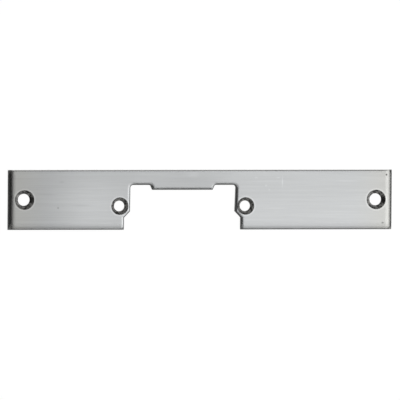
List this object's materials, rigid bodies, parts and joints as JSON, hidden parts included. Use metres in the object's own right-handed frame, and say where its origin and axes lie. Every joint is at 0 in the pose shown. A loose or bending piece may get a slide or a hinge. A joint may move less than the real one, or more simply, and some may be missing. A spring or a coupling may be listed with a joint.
{
  "type": "door strike plate",
  "caption": "Flat steel strike plate with a stepped, tongued opening cut in from one long edge and countersunk screw holes.",
  "frame": {"origin": "centre of the plate's outline, on the flat back face", "axes": "+X along the length, +Y towards the long edge without the opening, +Z out of the visible face"},
  "size_m": [0.2286, 0.035, 0.0032],
  "materials": {
    "strike_plate": "fine brushed along the length, with rolled rims"
  },
  "bodies": {
    "root": {"strike_plate": "strike_plate"}
  },
  "joints": []
}
